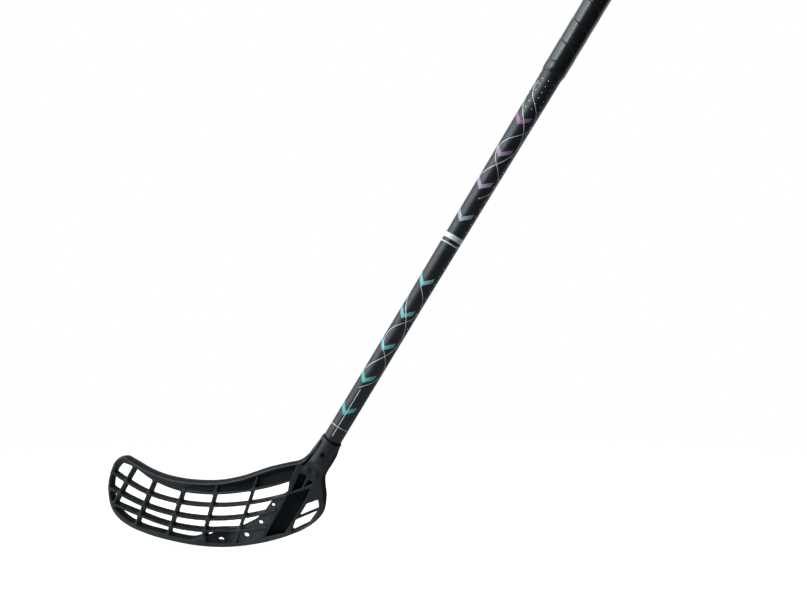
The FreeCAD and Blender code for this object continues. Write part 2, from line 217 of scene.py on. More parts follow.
ribs = [layout(pair) for pair in (
    ((0.123, 0.868), (0.025, 0.460)), ((0.221, 0.741), (0.125, 0.214)), ((0.355, 0.640), (0.276, 0.118)),
    ((0.509, 0.672), (0.431, 0.046)), ((0.691, 0.772), (0.585, 0.052)))]
rungs = [smooth_line(layout(line)) for line in (
    [(-0.010, 0.850), (0.094, 0.688), (0.179, 0.586), (0.330, 0.489), (0.489, 0.461), (0.650, 0.493),
     (0.860, 0.620)],
    [(-0.010, 0.645), (0.047, 0.570), (0.178, 0.430), (0.320, 0.343), (0.488, 0.309), (0.640, 0.345),
     (0.770, 0.428)],
    [(-0.010, 0.475), (0.025, 0.440), (0.144, 0.333), (0.247, 0.247), (0.385, 0.186), (0.460, 0.176),
     (0.526, 0.184), (0.611, 0.196), (0.668, 0.212), (0.730, 0.238)])]
band = layout([
    (0.364, 0.686), (0.456, 0.684), (0.534, 0.696), (0.624, 0.738), (0.701, 0.806), (0.777, 0.872),
    (0.866, 0.914), (0.838, 0.757), (0.640, 0.645), (0.490, 0.611), (0.364, 0.632)])
web = layout([
    (0.456, 0.150), (0.500, 0.205), (0.590, 0.230), (0.622, 0.268), (0.674, 0.342), (0.710, 0.430),
    (0.740, 0.535), (0.800, 0.620), (0.818, 0.607),
    (0.778, 0.408), (0.718, 0.155), (0.667, 0.088), (0.602, 0.053), (0.524, 0.038), (0.455, 0.046)])
pockets = [layout(loop) for loop in (
    [(0.832, 0.597), (0.928, 0.661), (0.900, 0.519), (0.810, 0.166), (0.723, 0.125)],
    [(0.884, 0.827), (0.912, 0.803), (0.889, 0.669), (0.846, 0.635)],
    [(0.922, 0.756), (0.940, 0.723), (0.904, 0.685)])]
heel_window = layout([
    (0.911, 0.496), (0.962, 0.542), (0.966, 0.443), (0.954, 0.385), (0.922, 0.268), (0.850, 0.178), (0.844, 0.201),
    (0.862, 0.318), (0.884, 0.385)])
heel_bar = layout([(0.862, 0.334), (0.978, 0.456)])
holes = list(zip(layout([(0.5215, 0.070), (0.638, 0.132), (0.704, 0.280), (0.761, 0.478)]), (3.5, 2.9, 2.5, 1.9)))
print("outline points", len(outline), "ribs", len(ribs), "rungs", len(rungs), "holes", len(holes))

# %% [markdown]
# The sheet that carries the drawing is curved like part of a large ring: it bends back towards the toe and the
# sole. A point of the blade is a spot on that sheet plus a depth along the sheet's own normal.

# %% The curved sheet
plan_radius = 780.0
section_radius = 300.0
front = -7.0
crown = layout([(0.905, 0.78)])[0]


def sheet(x, z):
    """Depth of the sheet at (x, z), with its slopes: a section arc swung round an upright line behind it."""
    up = np.sqrt(section_radius**2 - (z - crown[1]) ** 2)
    ring = plan_radius - section_radius + up
    swing = np.sqrt(ring**2 - (x - crown[0]) ** 2)
    return front + plan_radius - swing, (x - crown[0]) / swing, ring * (z - crown[1]) / (up * swing)


def onto_sheet(x, z, depth):
    """Points at a depth behind the sheet, along its normal."""
    y, slope_x, slope_z = sheet(x, z)
    length = np.sqrt(1 + slope_x**2 + slope_z**2)
    return np.stack([x - depth * slope_x / length, y + depth / length, z - depth * slope_z / length], -1)


print("the sheet's front at its crown, in mm", sheet(*crown)[0].round(3))

# %% [markdown]
# Now the field of the plate. Shapes of equal depth are joined flat, so that their fronts stay level; shapes of
# unequal depth are melted in space, which leaves the small fillets of a moulding. Two bevels take the corner off the
# top rail and the heel's edge, and a shallow bar crosses the heel's window.

# %% The plate's field
cell, deep_cell = 0.89, 1.0
grid_x = np.arange(-192.0, 97.0, cell)
grid_z = np.arange(-2.4, 141.0, cell)
depths = np.arange(-13.0, 22.5, deep_cell)
flat_x, flat_z = np.meshgrid(grid_x, grid_z, indexing="ij")
spots = np.stack([flat_x.ravel(), flat_z.ravel()], -1)


def ramp(value, start, end):
    """Zero at start, one at end, straight between them and level beyond."""
    return np.clip((value - start) / (end - start), 0, 1)


def drawn(field):
    """A field on the drawing's spots, shaped as the grid and ready to meet the depths."""
    return field.reshape(flat_x.shape)[..., None].astype(np.float32)


def nearest(distance, *shapes):
    """The least distance from each spot to several lines or loops."""
    return drawn(np.minimum.reduce([distance(spots, shape) for shape in shapes]))


rib_half, rung_half, bar_half, window_round = 1.5, 1.4, 1.4, 1.0
in_outline, in_opening = nearest(loop_distance, outline), nearest(loop_distance, opening)
in_band, in_web = nearest(loop_distance, band), nearest(loop_distance, web)
in_pockets = nearest(loop_distance, *pockets)
in_window = nearest(loop_distance, inset(heel_window, window_round)) - window_round
in_holes = drawn(np.minimum.reduce([np.hypot(*(spots - place).T) - size for place, size in holes]))
on_ribs = nearest(line_distance, *ribs) - rib_half
on_rungs = nearest(line_distance, *rungs) - rung_half
on_bar = nearest(line_distance, heel_bar) - bar_half
from_top, from_heel = nearest(line_distance, top_rail), nearest(line_distance, heel_edge)
share_x = drawn(spots[:, 0] / blade_length + axis_foot_share)
share_z = drawn(spots[:, 1] / blade_height)
depth = depths[None, None, :].astype(np.float32)

plate, reach, rib_reach, rib_fillet = 14.0, 1.5, 2.0, 2.2
band_start, band_fall = 0.36, 62.0
sunk_area = np.minimum(in_band, in_web)
open_area = np.minimum.reduce([in_opening, sunk_area, in_pockets, in_window, in_holes])
rim = np.maximum(in_outline, -open_area)
ribbed = np.maximum(on_ribs, np.minimum(in_opening, sunk_area) - rib_reach)
raised = np.maximum(melt(rim, ribbed, rib_fillet), np.maximum(in_outline, -in_holes))
rail_round = 0.7 + 1.2 * ramp(share_z, 0.5, 0.75)
field = slab(raised, depth, 0.0, plate, rail_round)
bevel_width = 3.3 * ramp(share_x, 0.03, 0.11)
field = np.maximum(field, (2 * (bevel_width - from_top) - depth) / np.sqrt(5))
heel_width = 4.6 * ramp(np.abs(share_z - 0.68), 0.242105, 0.110526)
field = np.maximum(field, (heel_width - from_heel - depth) / np.sqrt(2))

strips = np.maximum(on_rungs, np.minimum(in_opening, in_web) - rib_reach)
bar = np.maximum(on_bar, in_window - reach)
inner = in_outline + 1.0
band_floor = np.maximum.reduce([in_band - reach, inner, -in_opening])
band_depth = 1.2 + 4.3 * ramp(share_x, band_start, band_start + band_fall / blade_length)
web_floor = np.maximum.reduce([in_web - reach, inner, -in_holes, -in_opening])
for flat, near, far, edge, fillet in (
        (strips, 0.5, 13.5, 0.4, 1.6), (bar, 0.6, 5.0, 0.3, 1.0),
        (band_floor, band_depth, plate - band_depth, 0.3, 1.2), (web_floor, 3.0, 8.0, 0.4, 1.2),
        (in_pockets - reach, 10.5, 13.6, 0.3, 1.0)):
    field = melt(field, slab(flat, depth, near, far, edge), fillet)
print("plate field", field.shape)

# %% [markdown]
# The socket is a round tube about the shaft's axis, with a rounded foot, a groove on its left, two soft knuckles below
# it, and a scooped mouth over a narrower neck. The bore and the screw's countersunk hole are taken out last.

# %% The socket's field
mouth, bore_foot, socket_foot, foot_round = 146.5, 114.3, 108.3, 8.0
socket_radius, neck_radius, neck_height, bore_radius, wide_bore = 12.45, 11.8, 2.4, 10.55, 10.95
socket_fillet, mouth_scoop = 1.4, 3.4
groove_half, groove_floor, groove_front, groove_foot, groove_top = 0.9, 11.5, -3.0, 106.0, 141.0
groove_aside, groove_bend, groove_straight = -9.8, 0.0035, 138.0
knuckle_radius, knuckle_height, knuckle_front, knuckle_fillet = 6.0, 102.8, -2.4, 2.0
knuckles_aside = (-6.4, 4.4)
screw_height, shank_radius, shank_front, head_radius, head_flare = 128.0, 1.75, -10.85, 3.2, 1.1

space = onto_sheet(flat_x[..., None], flat_z[..., None], depth).astype(np.float32)
space_y = space[..., 1]
height, aside = space @ axis.astype(np.float32), space @ across.astype(np.float32)
radius = np.linalg.norm(space - height[..., None] * axis.astype(np.float32), axis=-1)
tube_side = radius - socket_radius
nose = np.hypot(np.clip(tube_side + foot_round, 0, None), np.clip(socket_foot + foot_round - height, 0, None))
field = melt(field, np.maximum.reduce([nose - foot_round, tube_side, socket_foot - height]), socket_fillet)
groove_line = groove_aside - groove_bend * np.clip(groove_straight - height, 0, None) ** 2
groove = np.maximum.reduce([
    np.abs(aside - groove_line) - groove_half, groove_floor - radius, space_y - groove_front,
    height - groove_top, groove_foot - height])
field = np.maximum(field, -groove)
for knuckle in knuckles_aside:
    from_knuckle = np.sqrt((height - knuckle_height) ** 2 + (aside - knuckle) ** 2 + (space_y - knuckle_front) ** 2)
    field = melt(field, from_knuckle - knuckle_radius, knuckle_fillet)
past_mouth = height - mouth - mouth_scoop * (aside / socket_radius) ** 2
field = np.maximum(field, np.maximum(past_mouth, np.minimum(radius - neck_radius, past_mouth + neck_height)))
bore = np.maximum(radius - np.where(height > mouth - 0.1, wide_bore, bore_radius), bore_foot - height)
field = np.maximum(field, -bore)
screw_x, _, screw_z = screw_height * axis
from_screw = np.hypot(space[..., 0] - screw_x, space[..., 2] - screw_z)
screw_way = np.clip(shank_radius - head_flare * (space_y - shank_front), shank_radius, head_radius)
field = np.maximum(field, -np.maximum(from_screw - screw_way, space_y)).astype(np.float32)
print("field", field.shape, "plastic share", round(float((field < 0).mean()), 3))

# %% [markdown]
# A field becomes a surface with one point in every cell that it passes through, at the mean of the crossings on the
# cell's edges. Each crossed edge joins its four cells by a quad. One step down the slope then sets each point on zero.

# %% From field to surface


def crossings(field):
    """Points (in cells) and quads of the field's zero surface, by averaging the crossings of each cell."""
    inside = field < 0
    cells = np.array(field.shape) - 1
    total = np.zeros((*cells, 3), np.float32)
    count = np.zeros(cells, np.float32)
    crossed_edges = []
    for along in range(3):
        lower = tuple(slice(None, -1) if side == along else slice(None) for side in range(3))
        upper = tuple(slice(1, None) if side == along else slice(None) for side in range(3))
        crossed = inside[lower] != inside[upper]
        share = np.where(crossed, field[lower] / np.where(crossed, field[lower] - field[upper], 1), 0)
        one, two = [side for side in range(3) if side != along]
        for p in (0, 1):
            for q in (0, 1):
                pick = [slice(None)] * 3
                pick[one] = slice(p, p + cells[one])
                pick[two] = slice(q, q + cells[two])
                hit = crossed[tuple(pick)]
                count += hit
                total[..., along] += share[tuple(pick)]
                total[..., one] += p * hit
                total[..., two] += q * hit
        crossed_edges.append((along, crossed, inside[lower]))
    used = count > 0
    number = np.cumsum(used.ravel()).reshape(used.shape) - 1
    points = np.argwhere(used) + total[used] / count[used][:, None]
    quads = []
    for along, crossed, begins_inside in crossed_edges:
        one, two = np.eye(3, dtype=int)[[(along + 1) % 3, (along + 2) % 3]]
        at = np.argwhere(crossed)
        beside = (at - one - two >= 0).all(1) & (at < cells).all(1)
        at = at[beside]
        corners = [number[tuple((at - move).T)] for move in (one + two, two, 0 * one, one)]
        quad = np.stack(corners, -1)
        turned = begins_inside[tuple(at.T)]
        quads.append(np.where(turned[:, None], quad[:, ::-1], quad))
    return points, np.concatenate(quads)


def between(grid, points):
    """Values of a grid at points given in cells, mixed from the eight corners round each point."""
    low = np.clip(np.floor(points).astype(int), 0, np.array(grid.shape) - 2)
    part = points - low
    total = 0
    for corner in np.ndindex(2, 2, 2):
        weight = np.where(np.array(corner) == 1, part, 1 - part).prod(1)
        total = total + weight * grid[tuple((low + corner).T)]
    return total


cells_mm = np.array([cell, cell, deep_cell])
slopes = np.gradient(field)


def slope_at(points):
    """The field's slope at points, per cell along each side of the grid."""
    return np.stack([between(slope, points) for slope in slopes], -1)


points, quads = crossings(field)
steepness = slope_at(points)
drop = between(field, points)[:, None] * steepness / np.maximum((steepness**2).sum(1, keepdims=True), 0.2)
points = points - np.clip(drop, -0.5, 0.5)
spot_x, spot_z, depth_at = (points * cells_mm + [grid_x[0], grid_z[0], depths[0]]).T
blade_points = onto_sheet(spot_x, spot_z, depth_at)
print("blade surface", len(blade_points), "points", len(quads), "quads")

# %% [markdown]
# The field's slope is known in the layout. The sheet's own slopes turn it into a normal in space, which shades the
# fillets more finely than the quads could.

# %% Normals of the blade
pull = slope_at(points) / cells_mm
slope_x, slope_z = sheet(spot_x, spot_z)[1:]
cross = slope_x * slope_z
spread = (1 + slope_x**2) * (1 + slope_z**2) - cross**2
along_x = ((1 + slope_z**2) * pull[:, 0] - cross * pull[:, 1]) / spread
along_z = ((1 + slope_x**2) * pull[:, 1] - cross * pull[:, 0]) / spread
sheet_normal = np.stack([-slope_x, np.ones_like(slope_x), -slope_z], -1)
sheet_normal /= np.linalg.norm(sheet_normal, axis=1, keepdims=True)
blade_normals = np.stack([along_x, along_x * slope_x + along_z * slope_z, along_z], -1) + pull[:, 2:] * sheet_normal
blade_normals /= np.linalg.norm(blade_normals, axis=1, keepdims=True)
print("normals", blade_normals.shape)

# %% [markdown]
# Three point values carry the blade's tones. `edge` is a painted highlight: it greys the front edges, the ribs, the rim
# by the toe and the heel, and the web's front, where the light catches them. `sunk` is painted shade: high on the inner
# walls, the groove and the mouth, and partly on the socket. `deep` takes shine away behind the front and in the groove
# and the mouth, and is below zero on the socket, which shines more.

# %% Tones of the blade


def on_points(grid):
    """A grid's values at the blade's points; a flat grid is the same at every depth."""
    return between(np.broadcast_to(grid, field.shape), points)


ahead = -steepness[:, 2] / deep_cell / np.linalg.norm(steepness / cells_mm, axis=1)
not_back = ramp(ahead, -0.9, -0.6)
side_at, bevel_at = on_points(in_outline), on_points(bevel_width)
from_edge = np.minimum.reduce([
    np.abs(on_points(raised)) + 0.7, np.abs(on_points(ribbed)) + 0.3, np.abs(side_at),
    np.abs(on_points(from_top) - bevel_at) + 2 * (bevel_at < 1)])
# Painted highlight: pale lines along the front edges of the plate, the ribs and the top rail's bevel, where the light
# catches them.
front_edge_highlight = ramp(from_edge, 1.17, 0.27) * ramp(np.abs(depth_at), 1.68, 0.48)
# Painted highlight on the outer rim by the toe and by the heel, which face the light at the left.
near_toe = np.maximum(ramp(spot_x, -71.0, -181.0), 0.25) * (spot_z < 92.6)
near_heel = ramp(spot_x, -52.0, -7.0) * ramp(spot_z, 43.6, 35.6)
rim_highlight = np.maximum(near_toe, near_heel) * ramp(side_at, -8.5, 0.0) * ramp(depth_at, 4.5, 1.5)
# The web's front gets a painted highlight below, and the web and the socket keep their shine.
on_web = 1.3 * ramp(on_points(in_web), 1.0, -1.0) * ramp(spot_x, -47.0, -31.4)
on_socket = ramp(on_points(radius), 13.8, 12.8) * ramp(on_points(height), 100.0, 110.0)
# Painted shade: a dark band under the mouth's scooped edge, wider towards the right, and along the groove.
mouth_painted_shade = on_points(past_mouth) > -2.5 - 0.15 * np.clip(on_points(aside), 0, None)
unlit = mouth_painted_shade | (on_points(groove) < 0.4)
# Painted shade on the inner walls of the openings and recesses, but not on the back.
inner_wall_shade = ramp(depth_at, 0.7, 2.9) * ramp(side_at, -1.0, -2.5) * ramp(ahead, 0.85, 0.55) * not_back
behind_front = ramp(depth_at, 0.4, 2.0) * not_back * (1 - on_web) * (1 - on_socket)
# The painted highlights together: front edges, the rim and the web's front.
blade_painted_highlight = np.maximum.reduce([front_edge_highlight, rim_highlight, 0.6 * on_web * (ahead > 0.8)])
# The painted shade together: full in the mouth band and the groove, on the inner walls, and partly over the socket.
blade_painted_shade = np.where(unlit, 1, np.maximum(inner_wall_shade, 0.6 * on_socket))
blade_deep = np.where(unlit, 1, behind_front - 1.3 * on_socket)
print("mean edge, sunk, deep", [round(float(value.mean()), 3) for value in (blade_painted_highlight, blade_painted_shade, blade_deep)])

# %% [markdown]
# ## Materials
# A few helpers keep node trees short. Effects that several materials share are node groups; each group puts out
# values that vary over the surface, and the shader itself stays in the material.

# %% Helpers for node trees


def add(tree, kind, inputs=(), **settings):
    """A node with its settings; inputs are (socket, value or link) pairs."""
    made = tree.nodes.new(kind)
    for key, value in settings.items():
        setattr(made, key, value)
    for key, value in inputs:
        if isinstance(value, bpy.types.NodeSocket):
            tree.links.new(value, made.inputs[key])
        else:
            made.inputs[key].default_value = value
    return made


def math(tree, operation, *values):
    """One step of arithmetic on links or numbers."""
    return add(tree, "ShaderNodeMath", list(enumerate(values)), operation=operation).outputs[0]


def soft_step(tree, value, start, end):
    """Zero before start, one after end, and smooth between them."""
    inputs = [("Value", value), ("From Min", start), ("From Max", end)]
    return add(tree, "ShaderNodeMapRange", inputs, interpolation_type="SMOOTHSTEP").outputs["Result"]


def blend_colour(tree, share, first, second):
    """Mix of two colours by a share."""
    inputs = [("Factor", share), (6, first), (7, second)]
    return add(tree, "ShaderNodeMix", inputs, data_type="RGBA").outputs[2]


def new_group(name, takes, gives):
    """An empty node group with float inputs and named outputs, and its two end nodes."""
    group = bpy.data.node_groups.new(name, "ShaderNodeTree")
    for key in takes:
        group.interface.new_socket(key, in_out="INPUT", socket_type="NodeSocketFloat")
    for key, kind in gives:
        group.interface.new_socket(key, in_out="OUTPUT", socket_type="NodeSocket" + kind)
    return group, add(group, "NodeGroupInput").outputs, add(group, "NodeGroupOutput").inputs


def new_material(name):
    """A material with an empty tree, its Principled shader and nothing else."""
    material = bpy.data.materials.new(name)
    material.use_nodes = True
    material.node_tree.nodes.clear()
    tree = material.node_tree
    shader = add(tree, "ShaderNodeBsdfPrincipled")
    add(tree, "ShaderNodeOutputMaterial", [("Surface", shader.outputs[0])])
    return material, tree, shader


# %% [markdown]
# Moulded and matt surfaces are never even. This group reads the piece's own coordinates and gives a slow change of
# tone, a finer change of gloss, and a fine grain as a normal.

# %% Shared grain
grain, takes, gives = new_group(
    "grain", ("Grain per metre", "Lift"), (("Tone", "Float"), ("Gloss", "Float"), ("Normal", "Vector")))
place = add(grain, "ShaderNodeTexCoord").outputs["Object"]
slow = add(grain, "ShaderNodeTexNoise", [("Vector", place), ("Scale", 26.0), ("Detail", 4.0)])
quick = add(grain, "ShaderNodeTexNoise", [("Vector", place), ("Scale", 210.0), ("Detail", 3.0)])
fine = add(grain, "ShaderNodeTexNoise", [("Vector", place), ("Scale", takes[0]), ("Detail", 2.0)])
bump = add(grain, "ShaderNodeBump", [("Strength", takes[1]), ("Distance", 0.0004), ("Height", fine.outputs[0])])
grain.links.new(soft_step(grain, slow.outputs[0], 0.3, 0.7), gives["Tone"])
grain.links.new(soft_step(grain, quick.outputs[0], 0.3, 0.7), gives["Gloss"])
grain.links.new(bump.outputs[0], gives["Normal"])


def use_grain(tree, per_metre, lift):
    """The grain group in a material's tree."""
    made = add(tree, "ShaderNodeGroup", node_tree=grain)
    made.inputs[0].default_value = per_metre
    made.inputs[1].default_value = lift
    return made.outputs


def gloss_range(tree, share, low, high):
    """Roughness that follows a share between two values."""
    inputs = [("Value", share), ("To Min", low), ("To Max", high)]
    return add(tree, "ShaderNodeMapRange", inputs).outputs["Result"]


def plain_material(name, per_metre, lift, tones, gloss, specular=0.5, metallic=0.0):
    """A material of two close tones and a narrow range of roughness, with the shared grain."""
    material, tree, shader = new_material(name)
    marks = use_grain(tree, per_metre, lift)
    dark, pale = [(*tone, 1) for tone in tones]
    tree.links.new(blend_colour(tree, marks["Tone"], dark, pale), shader.inputs["Base Color"])
    tree.links.new(gloss_range(tree, marks["Gloss"], *gloss), shader.inputs["Roughness"])
    tree.links.new(marks["Normal"], shader.inputs["Normal"])
    shader.inputs["Specular IOR Level"].default_value = specular
    shader.inputs["Metallic"].default_value = metallic
    return material


print("node group", grain.name, "with", len(grain.nodes), "nodes")

# %% [markdown]
# The blade is black plastic. The point value `edge` greys it as a painted highlight, `sunk` darkens and dulls it as
# painted shade, and `deep` sets how much it shines.

# %% Blade plastic
blade_plastic, tree, shader = new_material("blade_plastic")
marks = use_grain(tree, 1400.0, 0.12)
edge_highlight, painted_shade, behind_face = [
    add(tree, "ShaderNodeAttribute", attribute_name=name).outputs["Fac"] for name in ("edge", "sunk", "deep")]
body_tone = blend_colour(tree, marks["Tone"], (0.019, 0.0216, 0.0240, 1), (0.027, 0.0310, 0.0345, 1))
# Painted shade: where `sunk` is high, the tone goes to near black.
painted_shade_tone = blend_colour(tree, painted_shade, body_tone, (0.0075, 0.0082, 0.0088, 1))
# Painted highlight: where `edge` is high, a pale grey-green is mixed in, mottled by the grain's gloss.
mottled_highlight = math(tree, "MULTIPLY", edge_highlight, gloss_range(tree, marks["Gloss"], 0.35, 0.8))
tone = blend_colour(tree, mottled_highlight, painted_shade_tone, (0.100, 0.113, 0.111, 1))
tree.links.new(tone, shader.inputs["Base Color"])
satin = math(tree, "MULTIPLY_ADD", painted_shade, 0.15, gloss_range(tree, marks["Gloss"], 0.36, 0.50))
tree.links.new(satin, shader.inputs["Roughness"])
shine = math(tree, "MULTIPLY_ADD", behind_face, -0.17, 0.20)
tree.links.new(shine, shader.inputs["Specular IOR Level"])
tree.links.new(marks["Normal"], shader.inputs["Normal"])
make_piece("blade_moulding", blade_points, quads, blade_plastic, "stick", "blade",
           values={"edge": blade_painted_highlight, "sunk": blade_painted_shade, "deep": blade_deep}, normals=blade_normals)

# %% [markdown]
# ## Turned pieces
# The shaft's print is drawn with masks on the UV of a turned piece, which holds the turn across and the height in
# metres up. Thin waves, dots and collars are white, and the chevrons change colour with height.

# %% The shaft's print
print_art, _, gives = new_group("print_art", (), (("Ink", "Color"), ("Cover", "Float")))
wrap = add(print_art, "ShaderNodeUVMap", uv_map="wrap").outputs[0]
turn, rise = add(print_art, "ShaderNodeSeparateXYZ", [(0, wrap)]).outputs[:2]
girth, soft_end, chevron_pitch = 70.0, 0.0004, 0.0430


def draw(operation, *values):
    """One step of arithmetic in the print."""
    return math(print_art, operation, *values)


def inked(value, none, full):
    """A mask: zero where the value reaches none, one where it reaches full."""
    return soft_step(print_art, value, none, full)


def any_of(*masks):
    """The greatest of several masks."""
    return reduce(lambda one, two: draw("MAXIMUM", one, two), masks)


def all_of(*masks):
    """The product of several masks."""
    return reduce(lambda one, two: draw("MULTIPLY", one, two), masks)


def beside(centre):
    """Distance round the shaft, in mm, from a line at a turn that may itself vary."""
    off = draw("WRAP", draw("SUBTRACT", turn, centre), 0.5, -0.5)
    return draw("MULTIPLY", draw("ABSOLUTE", off), girth)


def only(start, end):
    """One between two heights in metres, zero elsewhere."""
    return all_of(inked(rise, start - soft_end, start + soft_end), inked(rise, end + soft_end, end - soft_end))


def wave(centre, sway, length, shift, half_width):
    """A thin line that swings round the shaft as a sine of height."""
    phase = draw("MULTIPLY_ADD", rise, TURN / length, shift)
    middle = draw("MULTIPLY_ADD", draw("SINE", phase), sway, centre)
    return inked(beside(middle), half_width + 0.25, half_width - 0.1)


def steps_up(length, part):
    """Marks that fill a part of every length up the shaft."""
    return inked(draw("FRACT", draw("DIVIDE", rise, length)), part + 0.04, part - 0.04)


def off_middle(repeats, size):
    """How far, in mm, a place lies from the middle of its repeat of a given size."""
    return draw("MULTIPLY", draw("SUBTRACT", draw("FRACT", repeats), 0.5), size)


waves = any_of(wave(0.70, 0.20, 0.130, 0.4, 0.42), wave(0.76, 0.17, 0.083, 2.1, 0.36),
               wave(0.20, 0.22, 0.110, 1.2, 0.42), wave(0.30, 0.18, 0.150, 3.0, 0.36))
waves = any_of(all_of(waves, only(0.215, 0.352)), all_of(waves, only(0.470, 0.622)))
up, around = off_middle(draw("DIVIDE", rise, 0.0075), 7.5), off_middle(draw("MULTIPLY", turn, 10.0), 7.0)
from_middle = draw("SQRT", draw("ADD", draw("MULTIPLY", up, up), draw("MULTIPLY", around, around)))
speckle = all_of(inked(from_middle, 0.75, 0.5), only(0.585, 0.628))
pin_line = all_of(inked(beside(0.72), 0.5, 0.25), only(0.152, 0.214))
dots = all_of(inked(beside(0.90), 0.9, 0.6), steps_up(0.0100, 0.16), only(0.30, 0.60))
collars = any_of(only(0.4145, 0.4205), only(0.4085, 0.4100), only(0.1640, 0.1648))
white = any_of(waves, speckle, pin_line, dots, collars)
arm = beside(0.69)
climb = draw("MULTIPLY", draw("FRACT", draw("DIVIDE", rise, chevron_pitch)), chevron_pitch / MM)
lean = draw("SUBTRACT", draw("SUBTRACT", climb, 10.0), draw("MULTIPLY", arm, 0.9))
chevron = all_of(inked(draw("ABSOLUTE", lean), 3.1, 2.7), inked(arm, 10.6, 10.2),
                 any_of(only(0.172, 0.390), only(0.430, 0.602)))
colours = add(print_art, "ShaderNodeValToRGB", [("Fac", inked(rise, 0.18, 0.62))])
colours.color_ramp.elements[0].color = (0.110, 0.470, 0.450, 1)
colours.color_ramp.elements[1].color = (0.330, 0.130, 0.270, 1)
for share, colour in ((0.50, (0.300, 0.600, 0.640, 1)), (0.72, (0.480, 0.390, 0.500, 1))):
    colours.color_ramp.elements.new(share).color = colour
ink = blend_colour(print_art, white, colours.outputs[0], (0.84, 0.87, 0.88, 1))
print_art.links.new(ink, gives["Ink"])
print_art.links.new(any_of(white, chevron), gives["Cover"])

shaft_print, tree, shader = new_material("shaft_print")
marks = use_grain(tree, 2600.0, 0.05)
art = add(tree, "ShaderNodeGroup", node_tree=print_art).outputs
ground = blend_colour(tree, marks["Tone"], (0.0115, 0.0136, 0.0162, 1), (0.0170, 0.0200, 0.0237, 1))
tree.links.new(blend_colour(tree, art["Cover"], ground, art["Ink"]), shader.inputs["Base Color"])
tree.links.new(gloss_range(tree, marks["Gloss"], 0.40, 0.48), shader.inputs["Roughness"])
shader.inputs["Specular IOR Level"].default_value = 0.50
tree.links.new(marks["Normal"], shader.inputs["Normal"])
print("node group", print_art.name, "with", len(print_art.nodes), "nodes")

# %% [markdown]
# The shaft and the finishing tape are turned: a closed profile of heights and radii, swung about the axis. The inside
# of a tube gets height zero in its UV, so that the print stays outside.

# %% Turning a profile


def turned_piece(name, profile, steps, material, body, stands_for, hidden=()):
    """Swings a closed (height, radius) profile about the axis. Profile numbers in hidden get UV height zero."""
    height, radius = np.array(profile, float).T
    turn = np.arange(steps) / steps
    points = place_round(np.repeat(height[:, None], steps, 1), np.repeat(radius[:, None], steps, 1),
                         np.broadcast_to(turn * TURN, (len(height), steps)))
    faces = ring_quads(len(height), steps, True)
    up = np.where(np.isin(np.arange(len(height)), list(hidden)), 0, height * MM)
    ring, step = [grid.ravel() for grid in np.meshgrid(np.arange(len(height)), np.arange(steps), indexing="ij")]
    after = (ring + 1) % len(height)
    left, right = turn[step], turn[step] + 1 / steps
    corners = [(left, up[ring]), (right, up[ring]), (right, up[after]), (left, up[after])]
    uv = np.stack([np.stack(corner, -1) for corner in corners], 1)
    return make_piece(name, points.reshape(-1, 3), faces, material, body, stands_for, uv=uv)


shaft_profile = [
    (114.45, 8.8), (114.45, 9.9), (114.95, 10.4), (146.1, 10.4), (146.52, 10.45), (146.52, 10.65), (146.7, 10.8),
    (147.4, 10.8), (250.0, 10.8), (343.5, 10.8), (345.5, 10.81), (490.0, 11.8), (635.5, 12.79), (637.0, 12.8),
    (800.0, 12.8), (983.9, 12.8), (984.45, 12.4), (984.45, 11.5), (984.0, 11.2), (800.0, 11.2), (636.45, 11.2),
    (344.5, 8.8)]
turned_piece("shaft_tube", shaft_profile, 96, shaft_print, "stick", "shaft",
             hidden=(0, 1, 17, 18, 19, 20, 21))

# %% [markdown]
# ## The wound grip
# The tape climbs the shaft as a screw. Its grid climbs with it: after one turn, a row runs on into the row one pitch
# higher, so the seam stays a clean line. Each turn lies a little over the next one above it, with a groove between.

# %% Grip tape
grip_foot, grip_top, grip_pitch = 641.45, 984.45, 28.0
seam_start = grip_foot - 5.0
grip_radius, grip_inner, pressed_radius = 14.25, 12.85, 13.65
grip_steps = 128
row_shares = np.array([
    0, 0.006, 0.014, 0.024, 0.04, 0.07, 0.11, 0.16, 0.22, 0.29, 0.36, 0.43, 0.50, 0.57, 0.64, 0.71, 0.78, 0.84, 0.89,
    0.93, 0.96, 0.978, 0.988, 0.995])


def ease(value, start, end):
    """Zero before start, one after end, and a smooth rise between."""
    share = np.clip((value - start) / (end - start), 0, 1)
    return share * share * (3 - 2 * share)


def tape_radius(height, turns):
    """Outside of the tape: full just under a seam, lower just above it, with a groove in the seam."""
    share = np.mod((height - seam_start) / grip_pitch - turns, 1.0)
    from_seam = np.minimum(share, 1 - share) * grip_pitch
    radius = grip_radius - 0.28 * (1 - share) - 0.35 * np.exp(-((from_seam / 0.5) ** 2))
    radius = pressed_radius + (radius - pressed_radius) * ease(height, 650.4, 651.2)
    return radius - 0.6 * ease(height, 983.2, grip_top)


def weld(points, faces):
    """Joins points that coincide, turns quads with a joined side into triangles and drops empty ones."""
    kept, number = np.unique(points.round(5), axis=0, return_inverse=True)
    joined = [list(dict.fromkeys(face)) for face in number.ravel()[np.array(faces)].tolist()]
    return kept, [face for face in joined if len(face) > 2]


